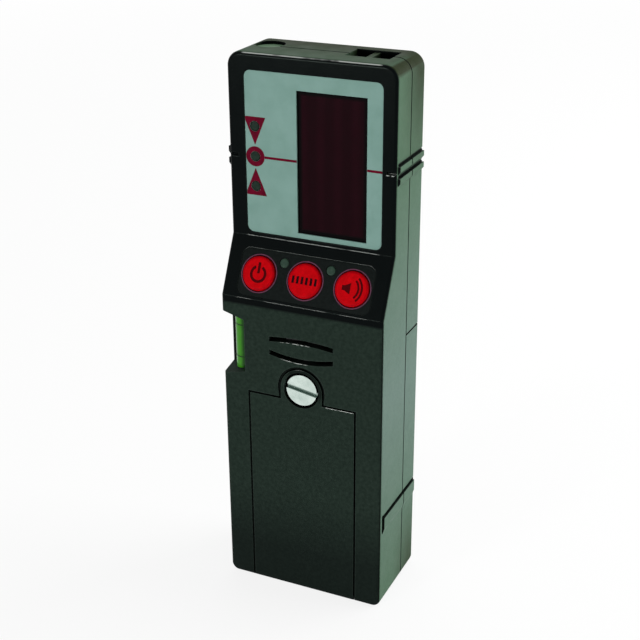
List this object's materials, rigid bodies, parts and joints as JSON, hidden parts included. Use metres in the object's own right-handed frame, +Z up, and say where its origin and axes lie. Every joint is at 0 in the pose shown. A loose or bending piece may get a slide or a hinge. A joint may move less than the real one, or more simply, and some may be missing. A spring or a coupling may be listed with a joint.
{
  "type": "laser receiver",
  "caption": "Upright handheld laser receiver with a red sensor window, sloped press keys, a corner level vial, a strap pocket and a battery door held by a captive coin-slot screw.",
  "frame": {"origin": "middle of the base", "axes": "+Z up along the height, -Y out of the front face with the window and keys, +X to the right when facing the front"},
  "size_m": [0.0524, 0.029, 0.165],
  "materials": {
    "case_plastic": "fine textured black plastic with a green cast",
    "label_film": "printed film, satin",
    "window_red": "dark red filter plastic, polished",
    "black_plastic": "plain black plastic",
    "diode_plastic": "dark filter resin",
    "lamp_lens": "smoked lens",
    "status_lens": "smoked green-grey lens",
    "panel_film": "dark satin film",
    "key_red": "satin red plastic",
    "plunger_plastic": "white plastic",
    "board_green": "glass-fibre board with solder mask",
    "steel": "zinc plated",
    "bright_steel": "bright nickel plated",
    "flex_film": "polyimide film",
    "vial_clear": "clear green acrylic",
    "vial_green": "green spirit",
    "plug_green": "moulded plug",
    "magnet_black": "black epoxy coat",
    "battery_can": "painted can",
    "brass": "plain brass",
    "rubber_black": "soft rubber",
    "foam": "closed cell foam"
  },
  "bodies": {
    "case": {"front_shell": "case_plastic", "rear_shell": "case_plastic", "case_screws": "steel", "face_label": "label_film", "sensor_window": "window_red", "sensor_baffle": "black_plastic", "photodiodes": "diode_plastic", "upper_lamp": "lamp_lens", "grade_lamp": "lamp_lens", "lower_lamp": "lamp_lens", "left_status_lamp": "status_lens", "right_status_lamp": "status_lens", "key_panel": "panel_film", "key_switches": "black_plastic", "key_board": "board_green", "main_board": "board_green", "key_board_screws": "steel", "board_screws": "steel", "key_flex": "flex_film", "controller_chip": "black_plastic", "buzzer": "black_plastic", "vial_tube": "vial_clear", "vial_liquid": "vial_green", "vial_plug": "plug_green", "top_magnet": "magnet_black", "battery": "battery_can", "battery_terminals": "steel", "battery_contacts": "brass", "door_seal": "rubber_black", "screw_insert": "brass", "clamp_insert": "brass"},
    "power_button": {"power_key": "key_red", "power_plunger": "plunger_plastic"},
    "mode_button": {"mode_key": "key_red", "mode_plunger": "plunger_plastic"},
    "sound_button": {"sound_key": "key_red", "sound_plunger": "plunger_plastic"},
    "door": {"battery_door": "case_plastic", "battery_pad": "foam"},
    "clip": {"screw_clip": "steel"},
    "screw": {"door_screw": "bright_steel"}
  },
  "joints": [
    {"name": "power_press", "type": "slide", "parent": "case", "child": "power_button", "axis": [0, 0.8998, -0.4363], "range_m": [0, 0.0005], "stiffness_N_per_m": 2000, "springref_m": -0.0003},
    {"name": "mode_press", "type": "slide", "parent": "case", "child": "mode_button", "axis": [0, 0.8998, -0.4363], "range_m": [0, 0.0005], "stiffness_N_per_m": 2000, "springref_m": -0.0003},
    {"name": "sound_press", "type": "slide", "parent": "case", "child": "sound_button", "axis": [0, 0.8998, -0.4363], "range_m": [0, 0.0005], "stiffness_N_per_m": 2000, "springref_m": -0.0003},
    {"name": "door_tilt", "type": "hinge", "parent": "case", "child": "door", "pos_m": [0, -0.01355, 0.00095], "axis": [1, 0, 0], "range_deg": [0, 40]},
    {"name": "screw_lift", "type": "slide", "parent": "door", "child": "clip", "axis": [0, -1, 0], "range_m": [0, 0.003]},
    {"name": "screw_turn", "type": "hinge", "parent": "clip", "child": "screw", "pos_m": [0, -0.0125, 0.0691], "axis": [0, -1, 0], "range_deg": [0, 1351]}
  ],
  "couplings": [
    {"joint": "screw_turn", "follows": "screw_lift", "rad_per_m": 7854}
  ]
}
